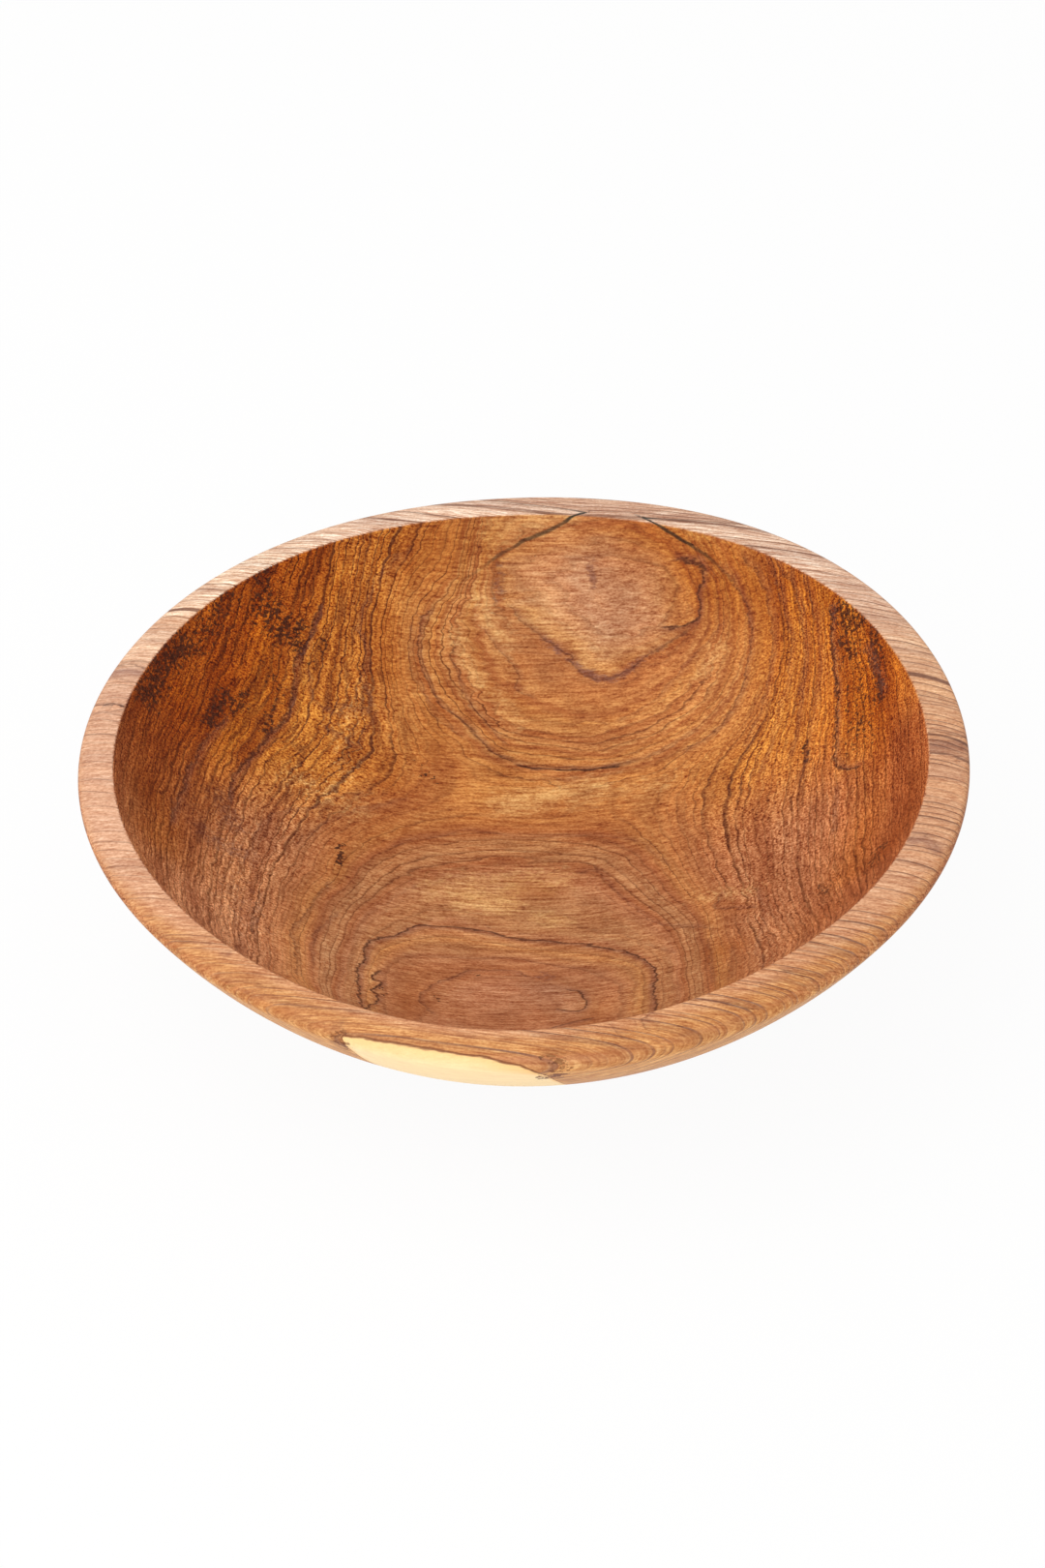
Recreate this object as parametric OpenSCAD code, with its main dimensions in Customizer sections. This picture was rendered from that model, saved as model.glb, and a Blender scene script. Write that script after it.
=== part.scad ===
// Hand-carved serving bowl, cut from one block of wood.
// The grain runs along X and Z points up. The origin is the middle of the flat foot.
// The bowl is one loft: rings of points climb the hollow from the middle of the floor,
// pass over the lip and run down the outside to the foot, which is then planed flat.

/* [Bowl] */
// Length over the lip, along the grain
bowl_l = 305; // [260:1:350]
// Width over the lip, across the grain
bowl_w = 296; // [250:1:340]
// Mean height of the lip above the foot
bowl_h = 82; // [65:1:110]
// Diameter of the flat foot
foot_d = 94; // [70:1:130]
// Thickness of the floor at its middle
floor_t = 14; // [10:0.5:22]

/* [Lip] */
// Mean width of the lip
lip_w = 13.3; // [10:0.1:18]
// Drop from the inner edge of the lip to its outer edge
lip_fall = 1.7; // [0.6:0.1:3]
// Rise of the lip's middle above the straight line between its edges
lip_crown = 0.25; // [0.1:0.05:0.6]
// Radius of the outer edge
edge_r = 3.4; // [1.5:0.1:4.4]
// Radius of the inner edge
ease_r = 1; // [0.4:0.1:1.6]

/* [Carving] */
// Rise of the lip at both ends of the grain, and its dip at the front and back
lip_wave = 2.4; // [0.4:0.1:5]
// Swell of the outline along one diagonal
skew_swell = 1.8; // [0.2:0.1:3]
// Swell of the outline towards three sides
three_swell = 0.5; // [0.1:0.1:1.2]
// Swell of the outline towards five sides
five_swell = 0.6; // [0.1:0.1:1.2]
// How much wider the lip is on its heavy side
lip_heavy = 1.7; // [0.2:0.1:2.5]
// Unevenness of the lip's width towards three sides
lip_uneven = 0.85; // [0.1:0.05:1.2]

/* [Hidden] */

// Turn of each swell about Z, in degrees
wave_turn = 6;
skew_turn = 45;
three_turn = 67;
five_turn = 52;
heavy_turn = 17;
uneven_turn = -45;

// Where the hollow's curve would turn up, as a share of its radius
hollow_share = 0.72;
// Where the outer curve would turn up: a share of the way out and a share of the height
belly_out_share = 0.73;
belly_up_share = 0.32;

// Depth planed off the foot, and the overrun of that cut
plane_d = 2.4;
overrun = 4;

// Steps of the loft: round the bowl, up the hollow, over each edge and down the wall
sides = 84;
hollow_steps = 15;
ease_steps = 2;
edge_steps = 5;
wall_steps = 12;

foot_r = foot_d / 2;
mean_r = (bowl_l + bowl_w) / 4;
oval_swell = (bowl_l - bowl_w) / 4;

// One swell: lobes of one height round the bowl, the first of them turned to an angle
function swell(height, lobes, turn, a) = height * cos(lobes * (a - turn));

// Outer radius of the lip at angle a
function outer_r(a) = mean_r
    + swell(oval_swell, 2, 0, a)
    + swell(skew_swell, 2, skew_turn, a)
    + swell(three_swell, 3, three_turn, a)
    + swell(five_swell, 5, five_turn, a);

// Width of the lip at angle a
function lip_width(a) = lip_w
    + swell(lip_heavy, 1, heavy_turn, a)
    + swell(lip_uneven, 3, uneven_turn, a);

// Height of the lip's inner edge at angle a
function lip_z(a) = bowl_h + swell(lip_wave, 2, wave_turn, a);

// A point at share t of the curve from p to r that is drawn towards q
function bend(p, q, r, t) = (1 - t) * (1 - t) * p + 2 * t * (1 - t) * q + t * t * r;

// Points of an arc about c, from one direction to another, both ends included
function arc(c, radius, from, to, steps) = [
    for (i = [0 : steps])
        let (b = from + (to - from) * i / steps)
        c + radius * [cos(b), sin(b)]
];

// Slope of the line from p up to q, in degrees
function slope(p, q) = atan2(q[1] - p[1], q[0] - p[0]);

// The hollow, from beside the middle of the floor to the foot of the eased edge
function hollow_line(top, steps) =
    let (
        low = [0, floor_t],
        turn = [hollow_share * top[0], floor_t]
    )
    [for (i = [1 : steps - 1]) bend(low, turn, top, i / steps)];

// The wall, from below the rounded edge to the last ring above the foot, and then
// straight on through the edge of the foot to the depth that is planed off
function wall_line(top, steps) =
    let (
        heel = [foot_r, 0],
        belly = [foot_r + belly_out_share * (top[0] - foot_r), belly_up_share * top[1]],
        wall = [for (i = [1 : steps - 1]) bend(heel, belly, top, 1 - i / steps)],
        last = wall[steps - 2]
    )
    concat(wall, [heel + (heel - last) * plane_d / last[1]]);

// The whole section at angle a, as points of radius and height
function section(a) =
    let (
        out = outer_r(a),
        width = lip_width(a),
        in = out - width,
        top = lip_z(a),
        fall = atan2(lip_fall, width),
        in_lean = slope([hollow_share * in, floor_t], [in, top]),
        ease_c = [in + ease_r * sin(in_lean), top - ease_r * cos(fall)],
        edge_c = [out - edge_r, top - lip_fall * (1 - edge_r / width) - edge_r],
        out_lean = slope([foot_r + belly_out_share * (out - foot_r), belly_up_share * edge_c[1]],
                         [out, edge_c[1]]),
        ease = arc(ease_c, ease_r, 90 + in_lean, 90 - fall, ease_steps),
        edge = arc(edge_c, edge_r, 90 - fall, out_lean - 90, edge_steps),
        middle = (ease[ease_steps] + edge[0]) / 2 + [0, lip_crown]
    )
    concat(
        hollow_line(ease[0], hollow_steps),
        ease,
        [middle],
        edge,
        wall_line(edge[edge_steps], wall_steps)
    );

// A point of a section, turned about Z to its angle
function turned(p, a) = [p[0] * cos(a), p[0] * sin(a), p[1]];

// Solid of the bowl before its foot is planed
module shell() {
    angles = [for (j = [0 : sides - 1]) 360 * j / sides];
    sections = [for (a = angles) section(a)];
    rings = len(sections[0]);
    floor_point = sides * rings;
    foot_point = floor_point + 1;

    points = concat(
        [for (j = [0 : sides - 1], i = [0 : rings - 1]) turned(sections[j][i], angles[j])],
        [[0, 0, floor_t], [0, 0, -plane_d]]
    );
    function at(i, j) = (j % sides) * rings + i;
    faces = concat(
        [for (j = [0 : sides - 1]) [floor_point, at(0, j + 1), at(0, j)]],
        [for (j = [0 : sides - 1], i = [0 : rings - 2]) [at(i, j), at(i, j + 1), at(i + 1, j + 1)]],
        [for (j = [0 : sides - 1], i = [0 : rings - 2]) [at(i, j), at(i + 1, j + 1), at(i + 1, j)]],
        [for (j = [0 : sides - 1]) [foot_point, at(rings - 1, j), at(rings - 1, j + 1)]]
    );
    polyhedron(points = points, faces = faces, convexity = 4);
}

// The bowl: one solid, with a flat foot
module bowl() {
    color([0.70, 0.43, 0.21])
    difference() {
        shell();
        translate([-bowl_l / 2, -bowl_w / 2, -plane_d - overrun])
            cube([bowl_l, bowl_w, plane_d + overrun]);
    }
}

bowl();
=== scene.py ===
import math

import bpy
import numpy as np
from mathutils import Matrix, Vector


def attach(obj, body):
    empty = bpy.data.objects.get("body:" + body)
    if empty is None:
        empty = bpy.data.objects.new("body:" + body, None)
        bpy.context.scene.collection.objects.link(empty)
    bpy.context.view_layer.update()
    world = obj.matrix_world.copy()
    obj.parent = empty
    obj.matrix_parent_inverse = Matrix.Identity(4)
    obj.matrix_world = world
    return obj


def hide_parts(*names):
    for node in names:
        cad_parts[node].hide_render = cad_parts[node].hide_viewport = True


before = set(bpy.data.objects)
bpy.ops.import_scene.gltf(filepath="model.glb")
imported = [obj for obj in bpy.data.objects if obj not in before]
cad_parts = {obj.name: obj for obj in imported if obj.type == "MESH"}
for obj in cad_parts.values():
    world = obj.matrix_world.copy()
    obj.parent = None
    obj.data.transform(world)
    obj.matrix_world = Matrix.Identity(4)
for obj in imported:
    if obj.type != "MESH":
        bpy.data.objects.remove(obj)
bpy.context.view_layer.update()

# Lengths are in millimetres and angles in degrees, as in the solid's source. MM turns them
# into the frame's metres where a mesh or an object is made.
MM = 0.001

# The bowl, as the solid has it
BOWL_L = 305.0
BOWL_W = 296.0
BOWL_H = 82.0
FOOT_D = 94.0
FLOOR_T = 14.0
LIP_W = 13.3
LIP_FALL = 1.7
LIP_CROWN = 0.25
EDGE_R = 2.8
EASE_R = 1.0
LIP_WAVE = 2.4
WAVE_TURN = 6.0
HOLLOW_SHARE = 0.72
BELLY_OUT_SHARE = 0.73
BELLY_UP_SHARE = 0.32
# Swells of the outline and of the lip's width: height, lobes, turn
OUTLINE_SWELLS = (((BOWL_L - BOWL_W) / 4, 2, 0), (1.8, 2, 45), (0.5, 3, 67), (0.6, 5, 52))
LIP_SWELLS = ((1.7, 1, 17), (0.85, 3, -45))
# The outer edge is crisp at the sides and rounder in front
EDGE_SWELLS = ((1.3, 1, -85), (1.0, 2, -85))

# Steps of the mesh, far finer than the solid's
SIDES = 440
HOLLOW_STEPS = 96
EASE_STEPS = 5
CROWN_STEPS = 8
EDGE_STEPS = 10
WALL_STEPS = 66
HEEL_STEPS = 4
FOOT_STEPS = 18
# Softening of the foot's edge by sanding
HEEL_R = 1.2

# The camera, at the photograph's angle: its aim, distance, tilt, lens and height of frame
AIM = (-1.4, -21.3, 82.0)
CAMERA_AWAY = 1240.0
CAMERA_TILT = 41.18
LENS = 83.88
FRAME_TALL = 36.0


# Shape of the bowl

def swells(terms, angle):
    """Sum of the swells round the bowl at each angle."""
    return sum(height * np.cos(np.radians(lobes * (angle - turn))) for height, lobes, turn in terms)


def bend(p, q, r, share):
    """Points at each share of the curve from p to r that is drawn towards q."""
    t = share[:, None, None]
    return (1 - t) ** 2 * p + 2 * t * (1 - t) * q + t ** 2 * r


def arc(centre, radius, start, end, share):
    """Points of an arc about centre, from one direction to another."""
    turn = np.radians(start + (end - start) * share[:, None])
    return centre + np.stack([radius * np.cos(turn), radius * np.sin(turn)], -1)


def pair(r, z):
    """Points of radius r and height z, one for each angle."""
    return np.stack(np.broadcast_arrays(np.asarray(r, float), np.asarray(z, float)), -1)


def slope(p, q):
    """Slope of the line from p up to q, in degrees."""
    return np.degrees(np.arctan2(q[:, 1] - p[:, 1], q[:, 0] - p[:, 0]))


def shares(steps, first=0):
    """Shares of a curve at the ends of its steps, from the first one asked for to its end."""
    return np.arange(first, steps + 1) / steps


def between(steps):
    """Shares of a curve at the ends of its steps, without the curve's own two ends."""
    return np.arange(1, steps) / steps


def lip_at(angle):
    """The bowl's radius, the lip's width and its height at each angle."""
    out = (BOWL_L + BOWL_W) / 4 + swells(OUTLINE_SWELLS, angle)
    width = LIP_W + swells(LIP_SWELLS, angle)
    top = BOWL_H + swells([(LIP_WAVE, 2, WAVE_TURN)], angle)
    return out, width, top


def section(angle):
    """Rings of the bowl's section at each angle, and each ring's zone: -1 in the hollow, 0 on
    the lip and 1 outside."""
    out, width, top = lip_at(angle)
    inner = out - width
    foot_r = FOOT_D / 2
    edge_r = EDGE_R + swells(EDGE_SWELLS, angle)
    fall = np.degrees(np.arctan2(LIP_FALL, width))
    in_lean = slope(pair(HOLLOW_SHARE * inner, FLOOR_T), pair(inner, top))
    ease_c = pair(inner + EASE_R * np.sin(np.radians(in_lean)),
                  top - EASE_R * np.cos(np.radians(fall)))
    edge_c = pair(out - edge_r, top - LIP_FALL * (1 - edge_r / width) - edge_r)
    belly = pair(foot_r + BELLY_OUT_SHARE * (out - foot_r), BELLY_UP_SHARE * edge_c[:, 1])
    out_lean = slope(belly, pair(out, edge_c[:, 1]))
    ease = arc(ease_c, EASE_R, 90 + in_lean, 90 - fall, shares(EASE_STEPS))
    edge = arc(edge_c, edge_r, 90 - fall, out_lean - 90, shares(EDGE_STEPS))
    start, end = ease[-1], edge[0]
    peak = (start + end) / 2 + pair(0, 2 * LIP_CROWN)
    crown = bend(start, peak, end, between(CROWN_STEPS))
    hollow_turn = pair(HOLLOW_SHARE * ease[0][:, 0], FLOOR_T)
    hollow = bend(pair(0 * out, FLOOR_T), hollow_turn, ease[0], between(HOLLOW_STEPS))
    brim = edge[-1]
    heel = pair(foot_r + 0 * out, 0)
    low_belly = pair(foot_r + BELLY_OUT_SHARE * (brim[:, 0] - foot_r), BELLY_UP_SHARE * brim[:, 1])
    wall = bend(brim, low_belly, heel, between(WALL_STEPS))
    wall = wall[wall[:, :, 1].min(1) > HEEL_R]
    heel_start, heel_end = wall[-1], pair(foot_r - HEEL_R + 0 * out, 0)
    sanded = bend(heel_start, heel, heel_end, shares(HEEL_STEPS, 1))
    foot = heel_end * (1 - between(FOOT_STEPS))[:, None, None]
    rings = np.concatenate([hollow, ease, crown, edge, wall, sanded, foot])
    zones = np.concatenate([
        np.full(len(hollow), -1.0), np.linspace(-1, 0, len(ease)), np.zeros(len(crown)),
        np.linspace(0, 1, len(edge)), np.ones(len(wall) + len(sanded) + len(foot))])
    return rings, zones


def bowl_grid():
    """Rings of points, from beside the floor's middle to beside the foot's, and their zones."""
    angle = np.arange(SIDES) * 360 / SIDES
    rings, zones = section(angle)
    turn = np.radians(angle)
    r, z = rings[:, :, 0], rings[:, :, 1]
    return np.stack([r * np.cos(turn), r * np.sin(turn), z], -1), zones


def bowl_faces(count):
    """Faces between count rings, and the two fans that close the middles."""
    here = np.arange(SIDES)
    after = (here + 1) % SIDES
    row = np.arange(count - 1)[:, None] * SIDES
    quads = np.stack([row + here, row + SIDES + here, row + SIDES + after, row + after], -1)
    floor_point, foot_point, last = count * SIDES, count * SIDES + 1, (count - 1) * SIDES
    fans = [(floor_point, i, j) for i, j in zip(here.tolist(), after.tolist())]
    fans += [(last + i, foot_point, last + j) for i, j in zip(here.tolist(), after.tolist())]
    return quads.reshape(-1, 4).tolist() + fans


# Figure of the wood

# The tree's heart ran along X, above the bowl. Each ring of growth lies at one depth
# below it, and bulges where the trunk did. Depth of a ring, then the places in the hollow
# that it passes through. Here and in all paths, places in plan are written x, y, x, y.
PITH_UP = 190.0
RINGS = (
    (197, -8, -80),
    (193, -38, -88, -37, -65, -24, -50, -5, -45, 8, -50, 18, -62, 20, -90),
    (189, -55, -100, -57, -78, -57, -58, -54, -40, -45, -30, -36, -23, -14, -23, 0, -27, 14, -30,
        30, -35, 40, -43, 44, -55, 43, -75, 43, -100),
    (184, -63, -90, -63, -60, -62, -40, -57, -18, -46, -2, -32, 9, -12, 14, 8, 13, 25, 8, 36, -7,
        46, -20, 52, -38, 53, -60, 52, -90),
    (180, -70, -90, -73, -60, -73, -40, -70, -18, -60, 3, -46, 19, -25, 27, 0, 29, 20, 27,
        36, 19, 46, 4, 53, -12, 60, -26, 62, -50, 61, -90),
    (177.4, -72, -88, -78, -66, -80, -45, -77, -28, -70, -6),
    (176.8, 0, 43),
    (180, -26, 118, -36, 108, -39, 98, -37, 88, -30, 79, -20, 70, -12, 62, 0, 58.5, 20, 56,
        38, 56, 50, 58.5, 64, 65, 73, 72, 79, 82, 80.5, 92, 77, 104),
    (184, -18, 122, -24, 112, -26, 100, -20, 88, -12, 78, 4, 71, 24, 68, 44, 71, 60, 79, 69, 90,
        71, 102, 64, 114),
    (185.6, 46, 79, 56, 84, 64, 90),
    (188, -12, 122, -8, 114, -1, 109, 12, 101, 21, 93, 32, 88.5, 42, 93.5, 56, 97, 62, 100,
        64, 107, 58, 116),
    (191, 28, 113),
    (174, -48, 112, -52, 98, -50, 82, -46, 66, -44, 52, -52, 40, -68, 22, -78, 4, -84, -20,
        -86, -50, -84, -85),
    (174, 84, 108, 90, 92, 88, 76, 78, 60, 66, 50, 61, 40, 60, 25, 64, 5, 69, -15, 71, -40,
        71, -85),
    (163, -64, 108, -68, 90, -70, 75, -74, 60, -83, 44, -90, 28, -96, 5, -99, -20, -100, -50,
        -97, -80),
    (163, 97, 92, 100, 80, 98, 66, 93, 48, 88, 30, 86, 10, 86, -15, 88, -40, 90, -70),
    (156, -76, 97, -82, 84, -85, 70, -88, 58, -94, 50, -99, 38, -103, 24, -106, 8, -108, -15,
        -108, -50),
    (148, 109, 78, 111, 62, 111, 45, 109, 28, 109, 15, 107, -6, 105, -30, 106, -60),
    (145, -98, 85, -104, 65, -111, 42, -118, 15, -120, -15, -119, -45),
    (134, -112, 78, -120, 52, -128, 20, -131, -15, -128, -42),
    (134, 122, 60, 125, 42, 125, 15, 123, -15, 120, -45),
)
# The bulges die out on a circle of this radius, at this many places round it
CALM_R = 185.0
CALM_SIDES = 12
# Stiffness of the sheet that is laid through the bulges, and the length it is scaled by
SHEET_STIFF = 0.002
SHEET_SPAN = 100.0
# Keeps a length above 0 where it is divided by or its logarithm is taken
TINY = 1e-9


def places(path):
    """The places of a path, one to a row."""
    return np.array(path, float).reshape(-1, 2)


def plain_depth(y, z):
    """Ring depth in a straight trunk."""
    return np.hypot(y, PITH_UP - z)


def hollow_height(x, y):
    """Height of the hollow's surface above a place in plan."""
    angle = np.degrees(np.arctan2(y, x))
    out, width, top = lip_at(angle)
    across = 2 * HOLLOW_SHARE * (out - width)
    rest = out - width - across
    share = (-across + np.sqrt(across ** 2 + 4 * rest * np.hypot(x, y))) / (2 * rest)
    return FLOOR_T + share ** 2 * (top - FLOOR_T)


def sheet_kernel(a, b):
    """Bending of a thin sheet at the places a under loads at the places b."""
    away = np.hypot(a[:, None, 0] - b[None, :, 0], a[:, None, 1] - b[None, :, 1])
    return away ** 2 * np.log(np.maximum(away, TINY))


def bulge_sheet():
    """Bulge of the rings over the plan, as a smooth sheet through the places in RINGS."""
    known = np.concatenate([places(path) for _, *path in RINGS])
    depths = np.concatenate([np.full(len(path) // 2, float(depth)) for depth, *path in RINGS])
    bulges = depths - plain_depth(known[:, 1], hollow_height(known[:, 0], known[:, 1]))
    turn = np.arange(CALM_SIDES) * 2 * math.pi / CALM_SIDES
    calm = CALM_R * np.stack([np.cos(turn), np.sin(turn)], -1)
    at = np.concatenate([known, calm]) / SHEET_SPAN
    bulges = np.concatenate([bulges, np.zeros(CALM_SIDES)])
    stiff = sheet_kernel(at, at) + np.eye(len(at)) * SHEET_STIFF
    flat = np.c_[np.ones(len(at)), at]
    system = np.block([[stiff, flat], [flat.T, np.zeros((3, 3))]])
    weights = np.linalg.solve(system, np.r_[bulges, 0, 0, 0])

    def bulge(x, y):
        here = np.stack([x, y], -1) / SHEET_SPAN
        lean = np.c_[np.ones(len(here)), here] @ weights[-3:]
        return sheet_kernel(here, at) @ weights[:-3] + lean
    return bulge


def near(points, path, radius):
    """Soft mask round a path in plan: 1 on it, and fading to nothing past radius."""
    path = places(path)
    starts, ends = (path, path) if len(path) == 1 else (path[:-1], path[1:])
    best = np.full(len(points), np.inf)
    for start, end in zip(starts, ends):
        run = end - start
        share = np.clip((points[:, :2] - start) @ run / max(run @ run, TINY), 0, 1)
        away = points[:, :2] - start - share[:, None] * run
        best = np.minimum(best, np.linalg.norm(away, axis=1))
    return np.exp(-(best / radius) ** 2)


def strokes(points, table):
    """How strong the strongest of the table's soft strokes is at each point."""
    soft = [strength * near(points, path, radius) for strength, radius, *path in table]
    return np.max(soft, axis=0)


def rounded(path, steps=5):
    """The path as a smooth curve through its places, by cubics that share their slopes."""
    path = places(path)
    padded = np.concatenate([2 * path[:1] - path[1:2], path, 2 * path[-1:] - path[-2:-1]])
    padded = padded[:, None]
    before, here, after, beyond = padded[:-3], padded[1:-2], padded[2:-1], padded[3:]
    t = (np.arange(steps) / steps)[None, :, None]
    curve = here + 0.5 * t * (after - before + t * (2 * before - 5 * here + 4 * after - beyond
                                                     + t * (3 * (here - after) + beyond - before)))
    return np.concatenate([curve.reshape(-1, 2), path[-1:]])


# Thin lines end this far to each side of their path and past its ends, and fade over this
# share of their reach
LINE_REACH = 3.4
LINE_END = 2.0
LINE_FADE = 0.6


def thin_lines(points, table):
    """Distance to one side of the table's nearest line, and how strong that line is there."""
    side = np.full(len(points), LINE_REACH)
    ink = np.zeros(len(points))
    closest = np.full(len(points), LINE_REACH)
    for strength, *path in table:
        path = rounded(path)
        low, high = path.min(0) - LINE_REACH, path.max(0) + LINE_REACH
        local = np.flatnonzero(((points[:, :2] > low) & (points[:, :2] < high)).all(1))
        place = points[local, :2]
        best = np.full(len(local), np.inf)
        offset = np.zeros(len(local))
        past = np.zeros(len(local))
        for i, (start, end) in enumerate(zip(path[:-1], path[1:])):
            length = np.linalg.norm(end - start)
            run = (end - start) / length
            ahead = (place - start) @ run
            across = run[0] * (place - start)[:, 1] - run[1] * (place - start)[:, 0]
            over = np.maximum(-ahead, ahead - length).clip(0)
            away = np.hypot(across, over)
            outer = (ahead < 0) & (i == 0) | (ahead > length) & (i == len(path) - 2)
            closer = away < best
            best = np.where(closer, away, best)
            offset = np.where(closer, np.where(outer, across, np.copysign(away, across)), offset)
            past = np.where(closer, np.where(outer, over, 0), past)
        mine = best < closest[local]
        here = local[mine]
        closest[here] = best[mine]
        side[here] = offset[mine]
        sides = ((LINE_REACH - best[mine]) / (LINE_FADE * LINE_REACH)).clip(0, 1)
        ink[here] = strength * sides * (1 - past[mine] / LINE_END).clip(0, 1)
    return side, ink


# Thin dark lines in the hollow: strength and path. Close neighbours are in different tables.
LINES = (
    (0.85, -76, 99, -80, 88, -84, 80, -85, 70.5, -86, 62, -92, 50, -99, 36, -104, 25, -106, 14),
    (0.7, -92.5, -26, -93.6, -40, -93.4, -56),
    (0.6, -96.4, -61, -95.8, -85),
    (0.6, -70, -9, -78, -34, -81.6, -44, -79, -52, -77, -76),
    (0.75, -36, 109, -39, 105, -40, 96, -36, 86.5, -31, 79, -21, 73, -14, 65.5, -6, 59.5,
        -0.7, 57.7),
    (1, -3, 58.2, 1.5, 57, 11.5, 56, 22.6, 55.7, 33.7, 56.2),
    (0.5, 33.7, 56.2, 50, 59, 62, 64),
    (0.6, -6, 112.8, -1, 108.3, 9, 102.5),
    (0.65, 9, 102.5, 16, 97.8, 18, 94.6, 24, 90.6, 33, 89, 40, 92.2, 48, 95.5, 59, 97.7),
    (0.9, 55, 117, 64, 114, 66, 109.8, 63, 107.3, 64, 104.3, 62, 100, 51, 101.5),
    (0.45, 72, 96, 66, 92.6, 59, 88.5, 51, 81.6, 43, 77.5, 34, 74.5),
    (0.65, 72, 110.5, 77, 104, 81, 96.5, 82.5, 86.5, 80, 77.5, 77, 70, 69, 61.6, 58, 57.5),
    (0.5, 85, 110, 91, 99.5, 94, 89.3, 96, 79, 95, 69, 91, 59, 88, 48, 84, 39),
    (0.45, 100, 95, 104, 83.6, 106, 72.5, 105, 59.7, 102, 45, 100, 35, 97, 28),
    (0.9, 110, 79, 110, 69, 111, 57.6, 111, 45.6, 110, 33, 110, 25, 113, 19.7, 117, 17),
    (0.6, 109, 14, 108, 4, 107, -6),
    (0.9, 42.5, -93, 43, -85, 43.6, -76, 43, -67.5, 44.7, -56, 43, -50, 39, -43, 33.7, -38.6,
        22.6, -33, 9.3, -29, -2.9, -27, -11.7, -24.3, -20.6, -22.8, -30.5, -22.6, -37, -23,
        -41.6, -27, -48, -32, -55, -37.5, -56, -50, -57.7, -58.6, -56, -78.5, -55, -88.5),
    (0.6, 2, -50.5, -5, -46.6, -16, -46.4, -23, -50, -31, -57.5, -35, -65, -36, -73, -32, -81),
    (0.9, 14, -60.3, 19, -63.7, 20, -71, 18, -76.6, 11, -74),
    (0.8, 22, -85, 15, -86.5, 8, -91),
    (0.45, 19, 7.7, 26, 7, 31, -2.4, 36, -11, 45, -23.8, 54, -28.7, 64, -34, 63, -44.5, 62, -75),
    (0.45, 80, -18.5, 82, -36, 78, -55.6, 78, -80),
    (0.4, -48, 16.6, -40, 22, -30, 24.6, -20, 28, -2, 25.6, 22, 26, 39, 20.7, 46, 12.7, 50, 6.7),
    (0.5, -60, 39, -70, 33, -77, 26, -88, 19, -95, 7, -97, -8),
    (0.6, -62, 97, -60, 94, -59, 88, -61, 83, -58, 77, -60, 72.5, -70, 71, -66.5, 68.5,
        -77, 69.5, -79, 78),
    (0.5, -55, 73, -60, 63, -62, 57.7, -66, 60, -73, 61),
    (0.6, -123, -4, -122.5, -16),
)
LINES_BESIDE = (
    (0.8, -108, 46, -114, 32, -119, 15, -121, 0, -123, -13),
    (0.5, -67, -25, -73, -39, -74, -50, -73, -60),
    (0.45, -43, 103, -43, 92, -39, 84, -33, 75.5, -24, 69),
    (0.45, -44, 122, -54, 114.5, -60, 105, -63, 97),
    (0.5, -16, 106, -11, 101, -6, 96, -3, 92, -4, 88, 2, 84.8),
    (0.5, -26, 101, -27.5, 96, -25, 90.5, -22, 82.7, -14, 74, -9, 67),
    (0.4, 17, 74.5, 23, 75.3, 29, 73),
    (0.35, 2, 51.8, 6, 51.6, 20, 52, 34, 53),
    (0.95, -50, -55, -53, -62, -49, -63, -53, -71, -50, -76, -54, -91),
    (0.55, 79, 110, 85.5, 102, 89, 92.5, 90, 82, 88, 70.4, 84, 60, 79, 52),
    (0.55, 91, 104, 97, 94, 100, 83, 101, 72.5, 99, 60.5, 97, 48, 94, 39),
    (0.6, 68.5, -15, 66, -22, 79, -29),
    (0.8, 121, 58, 124, 47, 125.6, 38),
    (0.45, 70, -51, 68, -77),
    (0.4, -44, 40, -53, 35, -63, 29.5, -72, 21.5, -82, 6),
    (0.4, 41, -36, 51, -44),
)
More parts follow.
